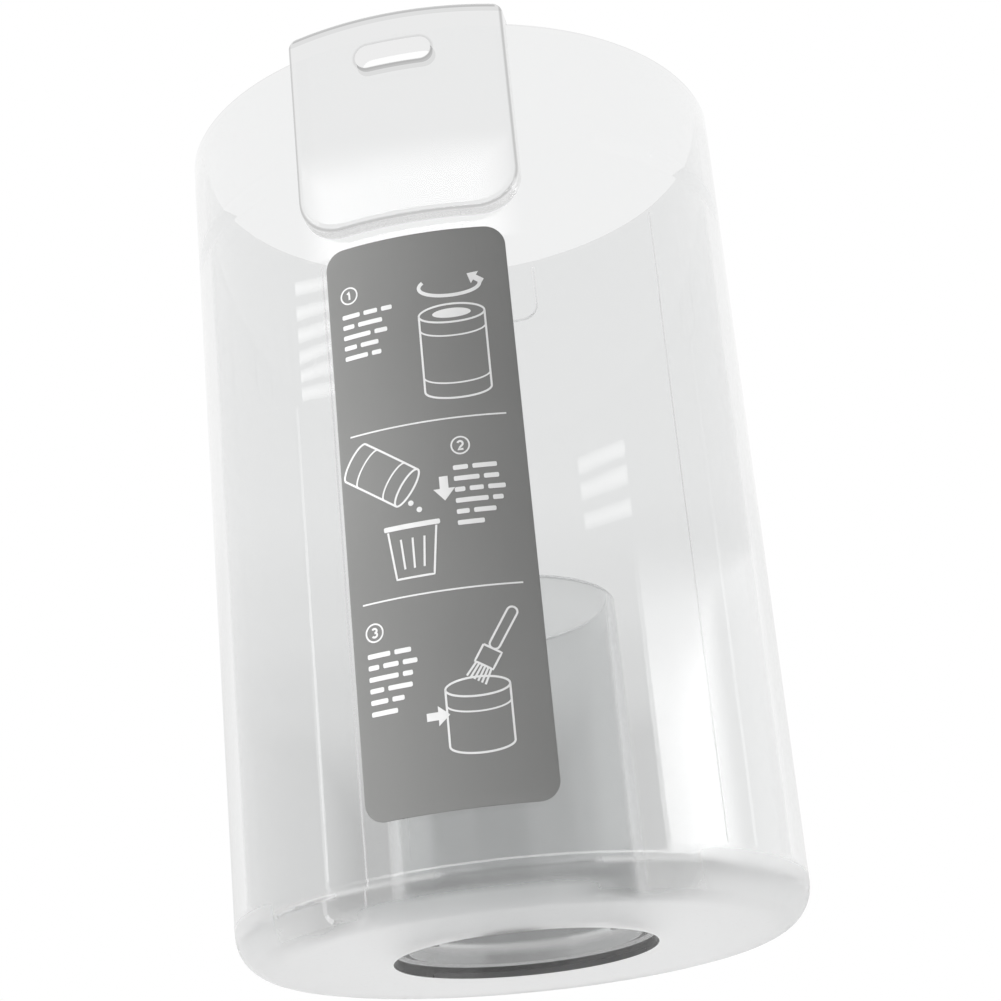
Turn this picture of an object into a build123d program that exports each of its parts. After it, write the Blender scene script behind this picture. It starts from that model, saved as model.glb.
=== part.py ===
"""Clear moulded dust cup of a cordless vacuum and the adhesive label on its front.

Millimetres, +Z up. The cup stands on its base at Z = 0 with the latch tab facing -Y.
"""

import math
import os

from build123d import *

os.makedirs("parts", exist_ok=True)

# Cup wall, drafted so that the mouth is a little wider than the base.
base_radius = 52.0
rim_flare = 0.5
cup_height = 162.0
wall = 2.4
floor = 2.4
corner_radius = 7.2
rim_rounding = 0.5

# Straight land inside the rim for the seal of the cyclone head, blended into the wall below.
land_relief = 0.3
land_depth = 20.0
land_blend = 4.0

# Inlet tube that stands up from the floor, and the seal seat around it on the underside.
bore_radius = 21.2
tube_foot_wall = 2.2
tube_top_wall = 1.7
tube_top = 64.5
tube_lip_rounding = 0.6
seat_ledge = 2.8
seat_depth = 2.2
boss_wall = 2.6
boss_roof = 2.6
boss_rounding = 1.0
foot_fillet = 1.2

# Latch tab on the front: a thick pad that rises past the rim, with a slot for the latch. Above the rim its
# inner face leans out from the seal land, as a lead-in.
tab_width = 40.7
tab_drop = 39.6
tab_rise = 2.6
tab_proud = 2.8
tab_lower_corner = 8.4
tab_upper_corner = 1.6
tab_rounding = 0.8
slot_length = 14.0
slot_height = 4.4
slot_below_rim = 6.0

# Locating pad at the back of the rim.
pad_width = 16.7
pad_height = 13.0
pad_proud = 1.6
pad_corner = 3.6
pad_rounding = 0.5

# Two guide channels down the outside of the rear wall, one on each side.
channel_azimuth = 127.0
channel_width = 12.2
channel_depth = 0.8
channel_bottom = 15.0
channel_corner = 3.0

# Adhesive label on the front wall below the tab.
label_width = 32.7
label_bottom = 15.6
label_gap = 2.5
label_corner = 3.5
label_film = 0.15
label_glue = 0.1

rim_radius = base_radius + rim_flare
land_radius = rim_radius - wall + land_relief
reach = 2 * rim_radius
bury_radius = rim_radius - wall / 2
tube_foot_radius = bore_radius + tube_foot_wall
tube_top_radius = bore_radius + tube_top_wall
seat_radius = bore_radius + seat_ledge
boss_radius = seat_radius + boss_wall
boss_top = seat_depth + boss_roof
tab_radius = rim_radius + tab_proud
tab_bottom = cup_height - tab_drop
tab_top = cup_height + tab_rise
label_height = tab_bottom - label_gap - label_bottom
pad_radius = rim_radius + pad_proud
draft = rim_flare / cup_height


def outer_radius(z):
    """Radius of the outside of the wall at height z."""
    return base_radius + draft * z


def inner_radius(z):
    """Radius of the inside of the drafted wall at height z."""
    return outer_radius(z) - wall


land_bottom = cup_height - land_depth
blend_bottom = land_bottom - land_blend

with BuildPart() as channels:
    with BuildSketch(Plane.XZ) as channel_ring:
        with BuildLine():
            Polyline(
                (base_radius - channel_depth, 0),
                (base_radius + channel_depth, 0),
                (rim_radius + channel_depth, cup_height + tab_rise),
                (rim_radius - channel_depth, cup_height + tab_rise),
                close=True,
            )
        make_face()
    revolve(axis=Axis.Z)
    turn = math.radians(channel_azimuth)
    channel_plane = Plane(
        origin=(0, 0, 0),
        x_dir=(math.cos(turn), math.sin(turn), 0),
        z_dir=(math.sin(turn), -math.cos(turn), 0),
    )
    with BuildSketch(channel_plane) as channel_outline:
        with Locations((0, channel_bottom)):
            RectangleRounded(
                channel_width,
                2 * cup_height,
                channel_corner,
                align=(Align.CENTER, Align.MIN),
            )
    extrude(amount=reach, mode=Mode.INTERSECT)
    mirror(about=Plane.YZ)

with BuildPart() as tab:
    with BuildSketch(Plane.XZ) as tab_ring:
        with BuildLine():
            Polyline(
                (bury_radius, tab_bottom),
                (tab_radius, tab_bottom),
                (tab_radius, tab_top),
                (bury_radius, tab_top),
                (land_radius, cup_height - rim_rounding),
                (bury_radius, cup_height - land_depth / 2),
                close=True,
            )
        make_face()
    revolve(axis=Axis.Z)
    with BuildSketch(Plane.XZ) as tab_outline:
        with BuildLine():
            Polyline(
                (-tab_width / 2, tab_bottom),
                (tab_width / 2, tab_bottom),
                (tab_width / 2, tab_top),
                (-tab_width / 2, tab_top),
                close=True,
            )
        make_face()
        fillet(tab_outline.vertices().group_by(Axis.Y)[0], tab_lower_corner)
        fillet(tab_outline.vertices().group_by(Axis.Y)[-1], tab_upper_corner)
    extrude(amount=reach, mode=Mode.INTERSECT)
    fillet(tab.faces().sort_by(Axis.Y)[0].edges(), tab_rounding)

with BuildPart() as locating_pad:
    with BuildSketch(Plane.XZ) as pad_ring:
        with BuildLine():
            Polyline(
                (bury_radius, cup_height - pad_height),
                (pad_radius, cup_height - pad_height),
                (pad_radius, cup_height),
                (bury_radius, cup_height),
                close=True,
            )
        make_face()
    revolve(axis=Axis.Z)
    with BuildSketch(Plane.XZ) as pad_outline:
        with BuildLine():
            Polyline(
                (-pad_width / 2, cup_height - pad_height),
                (pad_width / 2, cup_height - pad_height),
                (pad_width / 2, cup_height),
                (-pad_width / 2, cup_height),
                close=True,
            )
        make_face()
        fillet(pad_outline.vertices().group_by(Axis.Y)[0], pad_corner)
    extrude(amount=-reach, mode=Mode.INTERSECT)
    fillet(locating_pad.faces().sort_by(Axis.Y)[-1].edges(), pad_rounding)

with BuildPart() as dust_cup:
    with BuildSketch(Plane.XZ) as section:
        with BuildLine():
            Polyline(
                (seat_radius, 0),
                (base_radius, 0),
                (rim_radius, cup_height),
                (land_radius, cup_height),
                (land_radius, land_bottom),
                (inner_radius(blend_bottom), blend_bottom),
                (inner_radius(floor), floor),
                (boss_radius, floor),
                (boss_radius, boss_top),
                (tube_foot_radius, boss_top),
                (tube_top_radius, tube_top),
                (bore_radius, tube_top),
                (bore_radius, seat_depth),
                (seat_radius, seat_depth),
                close=True,
            )
        make_face()
        outer_corner = section.vertices().sort_by_distance((base_radius, 0))[0]
        fillet(outer_corner, corner_radius)
        inner_corner = section.vertices().sort_by_distance((inner_radius(floor), floor))[0]
        fillet(inner_corner, corner_radius - wall)
        boss_foot = section.vertices().sort_by_distance((boss_radius, floor))[0]
        fillet(boss_foot, foot_fillet)
        boss_edge = section.vertices().sort_by_distance((boss_radius, boss_top))[0]
        fillet(boss_edge, boss_rounding)
        tube_foot = section.vertices().sort_by_distance((tube_foot_radius, boss_top))[0]
        fillet(tube_foot, foot_fillet)
        tube_lip = section.vertices().sort_by_distance((tube_top_radius, tube_top))[0]
        fillet(tube_lip, tube_lip_rounding)
        bore_lip = section.vertices().sort_by_distance((bore_radius, tube_top))[0]
        fillet(bore_lip, tube_lip_rounding)
        rim_outside = section.vertices().sort_by_distance((rim_radius, cup_height))[0]
        fillet(rim_outside, rim_rounding)
        rim_inside = section.vertices().sort_by_distance((land_radius, cup_height))[0]
        fillet(rim_inside, rim_rounding)
    revolve(axis=Axis.Z)
    add(channels.part, mode=Mode.SUBTRACT)
    add(tab.part)
    add(locating_pad.part)
    with BuildSketch(Plane.XZ) as latch_slot:
        with Locations((0, cup_height - slot_below_rim)):
            SlotOverall(slot_length, slot_height)
    extrude(amount=reach, mode=Mode.SUBTRACT)

with BuildPart() as label:
    with BuildSketch(Plane.XZ) as film_section:
        with BuildLine():
            Polyline(
                (base_radius + label_glue, 0),
                (base_radius + label_glue + label_film, 0),
                (rim_radius + label_glue + label_film, cup_height),
                (rim_radius + label_glue, cup_height),
                close=True,
            )
        make_face()
    revolve(axis=Axis.Z)
    with BuildSketch(Plane.XZ) as label_outline:
        with Locations((0, label_bottom)):
            RectangleRounded(
                label_width,
                label_height,
                label_corner,
                align=(Align.CENTER, Align.MIN),
            )
    extrude(amount=reach, mode=Mode.INTERSECT)

dust_cup.part.label = "dust_cup"
label.part.label = "label"
export_step(dust_cup.part, "parts/dust_cup.step")
export_step(label.part, "parts/label.step")
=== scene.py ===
"""Clear dust cup of a cordless vacuum: the polished moulding, its printed label and a plain studio.

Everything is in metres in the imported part's frame. The cup stands on its base with the latch tab facing -Y.
"""

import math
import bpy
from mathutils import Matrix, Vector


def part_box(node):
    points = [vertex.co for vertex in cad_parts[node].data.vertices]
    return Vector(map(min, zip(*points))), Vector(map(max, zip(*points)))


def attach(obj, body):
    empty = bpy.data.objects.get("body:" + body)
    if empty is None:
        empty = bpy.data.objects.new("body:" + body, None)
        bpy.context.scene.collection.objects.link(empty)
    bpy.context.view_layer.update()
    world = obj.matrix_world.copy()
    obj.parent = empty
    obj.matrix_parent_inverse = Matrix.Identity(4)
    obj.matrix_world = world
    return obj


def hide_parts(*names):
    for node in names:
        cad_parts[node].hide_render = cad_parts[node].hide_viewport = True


bl_info = {
    "name": "Vacuum Dust Cup",
    "version": (1, 0, 0),
    "blender": (4, 5, 0),
    "location": "View3D > Sidebar > Dust Cup",
    "description": "Builds the clear dust cup, its printed label and the studio around the packed part",
    "category": "Object",
}

from types import SimpleNamespace

import bmesh
import bpy
import numpy as np
from mathutils import Matrix, Vector

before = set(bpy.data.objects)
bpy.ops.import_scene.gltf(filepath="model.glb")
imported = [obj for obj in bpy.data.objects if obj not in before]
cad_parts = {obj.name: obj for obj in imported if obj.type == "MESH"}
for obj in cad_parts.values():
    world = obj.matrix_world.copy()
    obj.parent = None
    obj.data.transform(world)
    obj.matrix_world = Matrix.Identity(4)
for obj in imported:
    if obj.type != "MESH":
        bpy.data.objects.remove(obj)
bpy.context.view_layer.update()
LABEL_LOW, LABEL_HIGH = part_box("label")
MM = 0.001


def mm(*values):
    """Millimetres as metres."""
    return tuple(value * MM for value in values)


# Grids: steps of the moulding round its axis, in each rounding of its section and along the section's runs,
# steps in the corners and along the sides of a plate, and points across and up a card.
CUP_SEGMENTS = 328
SECTION_ARC_STEPS = 11
SECTION_RUN_STEPS = (6, 24, 1, 6, 2, 24, 6, 1, 1, 12, 1, 12, 1, 1)
PLATE_ARC_STEPS = 10
PLATE_RUN_STEPS = 28
CARD_GRID = (33, 17)

# Small roundings: edges that look sharp, the blend under the seal land, and the edges of the pieces that
# join or cut the cup.
SHARP_EDGE = 0.15 * MM
BLEND_ROUNDING = 2.0 * MM
PAD_UPPER_CORNER = 0.6 * MM
CHANNEL_UPPER_CORNER = 2.0 * MM
CHANNEL_EDGE = 0.05 * MM
SLOT_CUTTER_EDGE = 0.1 * MM
LABEL_EDGE = 0.06 * MM

# How far a cutter passes the face that it cuts, how far an added piece stays off a face, and the slope of
# the channels' sides.
CHANNEL_PAST_WALL = 0.3 * MM
CHANNEL_PAST_RIM = 4.0 * MM
CHANNEL_SLOPE = 1.1 * MM
SLOT_PAST_WALL = 8.0 * MM
TAB_OFF_LAND = 0.02 * MM
PAD_OFF_RIM = 0.05 * MM

# Limits between which one finish of the plastic, or a painted shade on it, gives way to the next: heights,
# distances from the axis or to either side, or margins past the edge that a mask is measured from.
FRONT = mm(-40.0, -30.0)
REAR = mm(30.0, 40.0)
UPPER_WALL = mm(80.0, 90.0)
TAB_FACE = mm(2.1, 2.6)
TAB_SIDES = mm(0.1, 0.3)
TAB_EDGE = mm(-0.75, -0.35)
TAB_TOP = mm(-0.3, -0.2)
SLOT_WALL = mm(0.08, 0.12)
SLOT_EDGE = mm(0.0, 0.05)
SLOT_FADE = mm(0.3, 0.75)
LIP_TOP = mm(-0.6, -0.5)
LIP_SKIN = mm(0.05, 0.1)
TUBE_SKIN = mm(2.8, 3.6)
BORE_SKIN = mm(0.1, 0.2)
BORE_TOP = mm(14.0, 20.0)
SEAT_TOP = mm(2.1, 2.3)
SEAT_SKIN = mm(0.01, 0.05)
MATTE_TOP = mm(1.2, 1.8)
MATTE_INSIDE = mm(0.02, 0.2)
FROST_SKIN = mm(-1.7, -0.7)
FROST_SIDES = mm(24.0, 44.0)
FROST_TOP = mm(7.0, 9.5)
FADE_MIDDLE = mm(14.0, 30.0)
FADE_TOP = mm(2.0, 4.4)
FOOT_TOP = mm(5.4, 6.4)
FOOT_BOTTOM = mm(1.7, 1.9)
FOOT_INSIDE = mm(0.1, 0.2)
FOOT_SLOPE = mm(6.5, 8.7)
FOOT_FALL = 0.15
FLOOR_FADE = mm(160.0, 850.0)

# Roughness of the matte base, of the foot of the bore and of the frosted corner.
MATTE_BASE = 0.4
MATTE_BORE = 0.12
MATTE_CORNER = 0.38

# Share of the light that goes straight on through each zone.
THROUGH_FOOT = 0.91
THROUGH_LIP = 0.94
THROUGH_WALL = 0.84
# Painted shade: the lower share on the slot's wall, met from inside, darkens the slot's lower edge.
THROUGH_SLOT = 0.82
# Painted shade: the low share on the tab's sides, met from inside, darkens the tab's outline.
THROUGH_TAB_SIDES = 0.60
THROUGH_UPPER_WALL = 0.90
THROUGH_SHADOW = 0.93

# Light is caught in the wall past this many mirrorings or turns, and is direct before its first turn. A card
# for the nearest walls is hidden past one face that light went straight on through.
CAUGHT_MIRRORED = 2.5
CAUGHT_TURNED = 7.5
FIRST_TURN = 0.5
PASSED_ONE_FACE = 1.5
NEAREST_WALLS = 2

# Camera on a 36 mm sensor: its place in metres, its turn about the cup in degrees, and its pitch, yaw and
# roll in radians.
CAMERA_PLACE = (0.06696, -0.40893, -0.06893)
CAMERA_TURN = 9.3
CAMERA_TILT = (-0.3612, -0.0078, -0.0973)


def length(name, description, default):
    """A size that a user may change, given here in millimetres and kept in metres."""
    return bpy.props.FloatProperty(
        name=name, description=description, default=default * MM, min=0.0, precision=5, unit="LENGTH"
    )


def tint(name, description, default):
    """A linear colour that a user may change."""
    return bpy.props.FloatVectorProperty(
        name=name, description=description, default=default, size=4, min=0.0, max=1.0, subtype="COLOR"
    )


def amount(name, description, default, low=0.0, high=10.0):
    """A plain number that a user may change."""
    return bpy.props.FloatProperty(name=name, description=description, default=default, min=low, max=high)


class CupSizes(bpy.types.PropertyGroup):
    """Sizes of the clear moulding, the same as in the part's source."""

    base_radius: length("Base radius", "Outside of the wall at the base plane", 52.0)
    rim_flare: length("Rim flare", "How much wider the rim is than the base", 0.5)
    height: length("Height", "Base plane to rim", 162.0)
    wall: length("Wall", "Thickness of the wall", 2.4)
    floor: length("Floor", "Thickness of the floor", 2.4)
    corner: length("Bottom corner", "Outer radius between the base and the wall", 7.2)
    land_relief: length("Land relief", "How far the seal land is cut back into the wall", 0.3)
    land_depth: length("Land depth", "Length of the seal land below the rim", 20.0)
    land_blend: length("Land blend", "Height over which the land blends into the wall", 4.0)
    bore: length("Inlet bore", "Inside radius of the inlet tube", 21.2)
    tube_foot_wall: length("Tube foot wall", "Tube thickness at the floor", 2.2)
    tube_top_wall: length("Tube top wall", "Tube thickness at its lip", 1.7)
    tube_top: length("Tube top", "Height of the tube's lip", 64.5)
    seat_ledge: length("Seat ledge", "Width of the seal seat around the bore", 2.8)
    seat_depth: length("Seat depth", "Depth of the seal seat", 2.2)
    boss_wall: length("Boss wall", "Width of the boss around the seat", 2.6)
    boss_roof: length("Boss roof", "Height of the boss above the seat", 2.6)
    boss_rounding: length("Boss rounding", "Rounding of the boss's upper edge", 1.0)
    foot_fillet: length("Foot fillet", "Fillets at the feet of the boss and the tube", 1.2)
    lip_rounding: length("Lip rounding", "Rounding of the tube's lip", 0.6)
    rim_rounding: length("Rim rounding", "Rounding of both edges of the rim", 0.5)


class TrimSizes(bpy.types.PropertyGroup):
    """Sizes of the tab, the rear pad, the channels and the label, the same as in the part's source."""

    tab_width: length("Tab width", "Width of the latch tab", 40.7)
    tab_drop: length("Tab drop", "How far the tab reaches below the rim", 39.6)
    tab_rise: length("Tab rise", "How far the tab stands above the rim", 2.6)
    tab_proud: length("Tab proud", "How far the tab stands out of the wall", 2.8)
    tab_lower_corner: length("Tab lower corner", "Radius of the tab's lower corners", 8.4)
    tab_upper_corner: length("Tab upper corner", "Radius of the tab's upper corners", 1.6)
    tab_rounding: length("Tab rounding", "Rounding of the tab's front edge", 0.8)
    slot_length: length("Slot length", "Length of the latch slot", 14.0)
    slot_height: length("Slot height", "Height of the latch slot", 4.4)
    slot_below_rim: length("Slot below rim", "Rim to the middle of the slot", 6.0)
    pad_width: length("Pad width", "Width of the rear locating pad", 16.7)
    pad_height: length("Pad height", "Height of the rear locating pad", 13.0)
    pad_proud: length("Pad proud", "How far the rear pad stands out of the wall", 1.6)
    pad_corner: length("Pad corner", "Radius of the rear pad's lower corners", 3.6)
    pad_rounding: length("Pad rounding", "Rounding of the rear pad's outer edge", 0.5)
    channel_width: length("Channel width", "Width of a guide channel", 12.2)
    channel_depth: length("Channel depth", "Depth of a guide channel", 0.8)
    channel_bottom: length("Channel bottom", "Height at which a channel starts", 15.0)
    channel_corner: length("Channel corner", "Radius of a channel's lower corners", 3.0)
    channel_azimuth: bpy.props.FloatProperty(
        name="Channel azimuth",
        description="Turn from the tab to a channel",
        default=math.radians(127.0),
        subtype="ANGLE",
    )
    label_glue: length("Label glue", "Glue layer under the label", 0.1)
    label_film: length("Label film", "Thickness of the label", 0.15)
    label_corner: length("Label corner", "Corner radius of the label", 3.5)
    ink_film: length("Ink film", "Thickness of the print", 0.03)


class CupColours(bpy.types.PropertyGroup):
    """Colours of the plastic, the label and the print. Some tints of the plastic are painted shade."""

    plastic: tint("Plastic", "Tint of one wall of the clear plastic", (0.872, 0.876, 0.876, 1.0))
    tube: tint("Tube", "Tint of one wall of the inlet tube", (0.85, 0.856, 0.856, 1.0))
    base: tint("Base", "Tint of the matte base", (0.88, 0.88, 0.88, 1.0))
    # Painted shade: the seal seat's wall is tinted near black so that the recess round the inlet reads dark.
    seat: tint("Seat", "Tint of the wall of the seal seat", (0.02, 0.02, 0.02, 1.0))
    # Painted shade: the tab's sides are tinted darker so that the tab's outline reads as a dark line.
    edge: tint("Edge", "Tint of the sides of the tab", (0.72, 0.72, 0.72, 1.0))
    tab: tint("Tab", "Tint of the thick tab", (0.766, 0.770, 0.770, 1.0))
    # Painted shade: the rounded lower and side edges of the tab's face are tinted dark to draw its outline.
    outline: tint("Outline", "Tint of the rounded edge of the tab", (0.34, 0.34, 0.34, 1.0))
    # Painted shade: a dark ring round the latch slot on the tab's face.
    slot_edge_shade: tint("Slot edge", "Tint of the rounded edge of the latch slot", (0.56, 0.56, 0.56, 1.0))
    # Matte and painted shade: the foot of the bore is really matte, and its dark tint is painted shade inside
    # the inlet.
    bore: tint("Bore", "Tint of the matte lower end of the inlet bore", (0.29, 0.294, 0.294, 1.0))
    film: tint("Label film", "Grey of the label", (0.204, 0.205, 0.201, 1.0))
    ink: tint("Print", "White of the print", (0.80, 0.80, 0.80, 1.0))
    floor: tint("Floor", "Colour of the studio floor", (0.86, 0.86, 0.86, 1.0))


class StudioLook(bpy.types.PropertyGroup):
    """Camera and lamps."""

    lens: amount("Lens", "Focal length in millimetres on a 36 mm sensor", 82.175, 10.0, 300.0)
    room: amount("Room", "Strength of the soft light that fills the room", 0.58, 0.0, 3.0)
    fill: amount("Fill", "Power of the lamp on the left in watts", 19.0, 0.0, 100.0)
    top: amount("Top", "Power of the lamp overhead in watts", 3.0, 0.0, 100.0)
    soft_box: amount("Soft box", "Brightness of the soft box on the right", 8.0, 0.0, 20.0)
    front_card: amount("Front card", "Brightness of the white card above the camera", 7.6, 0.0, 20.0)
    window: amount("Window", "Brightness of the barred lamps on both sides", 6.0, 0.0, 20.0)
    strips: amount("Strips", "Brightness of the thin strips of light", 5.0, 0.0, 20.0)
    card_distance: length("Card distance", "Distance of the soft box, cards and bars from the cup", 900.0)


def rounded_loop(corners, radii, arc_steps, run_steps):
    """Closed outline of straight runs joined by arcs.

    Each corner moves back along both its runs by radius times tan(turn / 2), and an arc about the point
    radius / cos(turn / 2) inside the corner joins the two ends. Runs are divided evenly.
    """
    corners, radii = np.asarray(corners, float), np.asarray(radii, float)
    before = corners - np.roll(corners, 1, 0)
    after = np.roll(corners, -1, 0) - corners
    before /= np.linalg.norm(before, axis=1)[:, None]
    after /= np.linalg.norm(after, axis=1)[:, None]
    cross = before[:, 0] * after[:, 1] - before[:, 1] * after[:, 0]
    turn = np.arctan2(cross, (before * after).sum(1))
    back = radii * np.tan(np.abs(turn) / 2)
    left = np.stack([-before[:, 1], before[:, 0]], 1) * np.sign(turn)[:, None]
    centre = corners - before * back[:, None] + left * radii[:, None]
    share = np.linspace(0, 1, arc_steps + 1)
    angle = turn[:, None] * share
    spoke = -left * radii[:, None]
    cos, sin = np.cos(angle), np.sin(angle)
    arcs = centre[:, None] + np.stack(
        [
            cos * spoke[:, :1] - sin * spoke[:, 1:],
            sin * spoke[:, :1] + cos * spoke[:, 1:],
        ],
        -1,
    )
    start, end = arcs[:, -1], np.roll(arcs[:, 0], -1, 0)
    steps = np.broadcast_to(run_steps, len(corners))
    runs = [a + (b - a) * np.linspace(0, 1, n + 1)[1:-1, None] for a, b, n in zip(start, end, steps)]
    return np.concatenate([part for pair in zip(arcs, runs) for part in pair])


def grid_faces(rows, columns, wrap_rows=False, wrap_columns=True):
    """Quads between neighbours of a grid whose rows and columns may close on themselves."""
    last_row, last_column = rows if wrap_rows else rows - 1, columns if wrap_columns else columns - 1
    i, j = np.meshgrid(np.arange(last_row), np.arange(last_column), indexing="ij")
    next_i, next_j = (i + 1) % rows, (j + 1) % columns
    quads = [i * columns + j, i * columns + next_j, next_i * columns + next_j, next_i * columns + j]
    return np.stack(quads, -1).reshape(-1, 4)


def make_mesh(name, points, faces):
    """Mesh from a grid of points and its faces."""
    mesh = bpy.data.meshes.new(name)
    mesh.from_pydata(points.reshape(-1, 3).tolist(), [], faces.tolist())
    return mesh


def make_piece(name, points, faces):
    """Mesh object from a grid of points, with its poles merged and its faces pointing outwards."""
    mesh = make_mesh(name, points, faces)
    work = bmesh.new()
    work.from_mesh(mesh)
    bmesh.ops.remove_doubles(work, verts=work.verts, dist=1e-7)
    bmesh.ops.recalc_face_normals(work, faces=work.faces)
    work.to_mesh(mesh)
    work.free()
    piece = bpy.data.objects.new(name, mesh)
    bpy.context.scene.collection.objects.link(piece)
    return piece


def smooth(piece, degrees):
    """Smooth shading that stays crisp where faces meet at more than the given angle."""
    mesh = piece.data
    mesh.polygons.foreach_set("use_smooth", np.ones(len(mesh.polygons), bool))
    mesh.set_sharp_from_angle(angle=math.radians(degrees))


def lathe(name, section, segments):
    """Closed section of (radius, height) points turned about Z: (r sin a, -r cos a, z)."""
    turn = np.linspace(0, 2 * np.pi, segments, endpoint=False)[:, None]
    r, z = section[:, 0], section[:, 1]
    points = np.stack([r * np.sin(turn), -r * np.cos(turn), z + 0 * turn], -1)
    return make_piece(name, points, grid_faces(segments, len(section), wrap_rows=True))


def plate_outline(width, low, high, low_radius, high_radius, inset):
    """Upright rounded rectangle of (across, height) points, moved inwards by inset."""
    half = width / 2 - inset
    corners = [(-half, low + inset), (half, low + inset), (half, high - inset), (-half, high - inset)]
    radii = [low_radius - inset, low_radius - inset, high_radius - inset, high_radius - inset]
    return rounded_loop(corners, radii, PLATE_ARC_STEPS, PLATE_RUN_STEPS)


def curved_plate(name, outline, back, front, rounding, azimuth=0.0, rings=16, back_inset=0.0):
    """Plate that follows the round wall.

    Its outline is carried from the back surface to the front one, rounded at the front edge, and both faces
    close as rings that shrink to the middle. A point (across, height) at radius r lies at
    (across, -sqrt(r * r - across * across), height), turned about Z by the azimuth. An inset at the back
    makes the sides slope.
    """
    share = np.linspace(0, 1, rings)[:, None, None]
    bend = np.linspace(0, np.pi / 2, 6)
    edge, inner = outline(back_inset), outline(rounding)
    middle = inner.mean(0)
    rounded = np.stack([outline(rounding * (1 - np.cos(b))) for b in bend])
    back_rings, front_rings = middle + (edge - middle) * share, middle + (inner - middle) * share[::-1]
    flat = np.concatenate([back_rings, rounded, front_rings])
    x, z = flat[..., 0], flat[..., 1]
    dip = np.concatenate([rounding * (1 - np.sin(bend)), np.zeros(rings)])[:, None]
    radius = np.concatenate([back(z[:rings]), front(z[rings:]) - dip])
    y = -np.sqrt(radius**2 - x**2)
    cos, sin = math.cos(azimuth), math.sin(azimuth)
    points = np.stack([x * cos - y * sin, x * sin + y * cos, z], -1)
    return make_piece(name, points, grid_faces(*x.shape))


def combine(target, tools):
    """Joins or cuts the target with each (piece, operation), keeps the result and removes the tools."""
    for tool, operation in tools:
        modifier = target.modifiers.new(tool.name, "BOOLEAN")
        modifier.operation = operation
        modifier.solver = "EXACT"
        modifier.object = tool
    bpy.context.view_layer.update()
    shaped = target.evaluated_get(bpy.context.evaluated_depsgraph_get())
    plain = target.data
    target.data = bpy.data.meshes.new_from_object(shaped)
    target.modifiers.clear()
    target.data.name = target.name
    bpy.data.meshes.remove(plain)
    for tool, _ in tools:
        bpy.data.meshes.remove(tool.data)


def outer_radius(sizes, z):
    """Radius of the outside of the drafted wall at a height."""
    return sizes.base_radius + sizes.rim_flare * z / sizes.height


def cup_section(s):
    """Section of the cup, walked from the seal seat round the outside, the rim, the inside and the tube."""
    rim = s.base_radius + s.rim_flare
    land = rim - s.wall + s.land_relief
    land_low = s.height - s.land_depth
    blend_low = land_low - s.land_blend
    seat = s.bore + s.seat_ledge
    boss, boss_top = seat + s.boss_wall, s.seat_depth + s.boss_roof
    corners = [
        ((seat, 0.0), SHARP_EDGE),
        ((s.base_radius, 0.0), s.corner),
        ((rim, s.height), s.rim_rounding),
        ((land, s.height), s.rim_rounding),
        ((land, land_low), BLEND_ROUNDING),
        ((outer_radius(s, blend_low) - s.wall, blend_low), BLEND_ROUNDING),
        ((outer_radius(s, s.floor) - s.wall, s.floor), s.corner - s.wall),
        ((boss, s.floor), s.foot_fillet),
        ((boss, boss_top), s.boss_rounding),
        ((s.bore + s.tube_foot_wall, boss_top), s.foot_fillet),
        ((s.bore + s.tube_top_wall, s.tube_top), s.lip_rounding),
        ((s.bore, s.tube_top), s.lip_rounding),
        ((s.bore, s.seat_depth), SHARP_EDGE),
        ((seat, s.seat_depth), SHARP_EDGE),
    ]
    points, radii = zip(*corners)
    return rounded_loop(points, radii, SECTION_ARC_STEPS, SECTION_RUN_STEPS)


def handling_group():
    """Fine scuffs and slow waviness that the moulding, the label film and the print carry."""
    tree = bpy.data.node_groups.new("handling_marks", "ShaderNodeTree")
    for name, kind, default in (
        ("Vector", "NodeSocketVector", None),
        ("Wave Scale", "NodeSocketFloat", 40.0),
        ("Scuff Scale", "NodeSocketFloat", 900.0),
        ("Roughness", "NodeSocketFloat", 0.03),
        ("Scuff", "NodeSocketFloat", 0.05),
    ):
        socket = tree.interface.new_socket(name, in_out="INPUT", socket_type=kind)
        if default is not None:
            socket.default_value = default
    for name in ("Roughness", "Height", "Mask"):
        tree.interface.new_socket(name, in_out="OUTPUT", socket_type="NodeSocketFloat")
    source = tree.nodes.new("NodeGroupInput")
    result = tree.nodes.new("NodeGroupOutput")
    wave = tree.nodes.new("ShaderNodeTexNoise")
    wave.inputs["Detail"].default_value = 1.0
    stretch = tree.nodes.new("ShaderNodeMapping")
    stretch.inputs["Scale"].default_value = (1.0, 1.0, 0.06)
    scuff = tree.nodes.new("ShaderNodeTexNoise")
    scuff.inputs["Detail"].default_value = 3.0
    ramp = tree.nodes.new("ShaderNodeValToRGB")
    ramp.color_ramp.elements[0].position = 0.58
    ramp.color_ramp.elements[1].position = 0.74
    spread = tree.nodes.new("ShaderNodeMath")
    spread.operation = "MULTIPLY_ADD"
    for giver, output, taker, socket in (
        (source, "Vector", wave, "Vector"),
        (source, "Wave Scale", wave, "Scale"),
        (source, "Vector", stretch, "Vector"),
        (stretch, "Vector", scuff, "Vector"),
        (source, "Scuff Scale", scuff, "Scale"),
        (scuff, "Fac", ramp, "Fac"),
        (ramp, "Color", spread, 0),
        (source, "Scuff", spread, 1),
        (source, "Roughness", spread, 2),
        (spread, "Value", result, "Roughness"),
        (wave, "Fac", result, "Height"),
        (ramp, "Color", result, "Mask"),
    ):
        tree.links.new(giver.outputs[output], taker.inputs[socket])
    return tree


def handling_marks():
    """The shared group, made once."""
    return bpy.data.node_groups.get("handling_marks") or handling_group()


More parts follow.
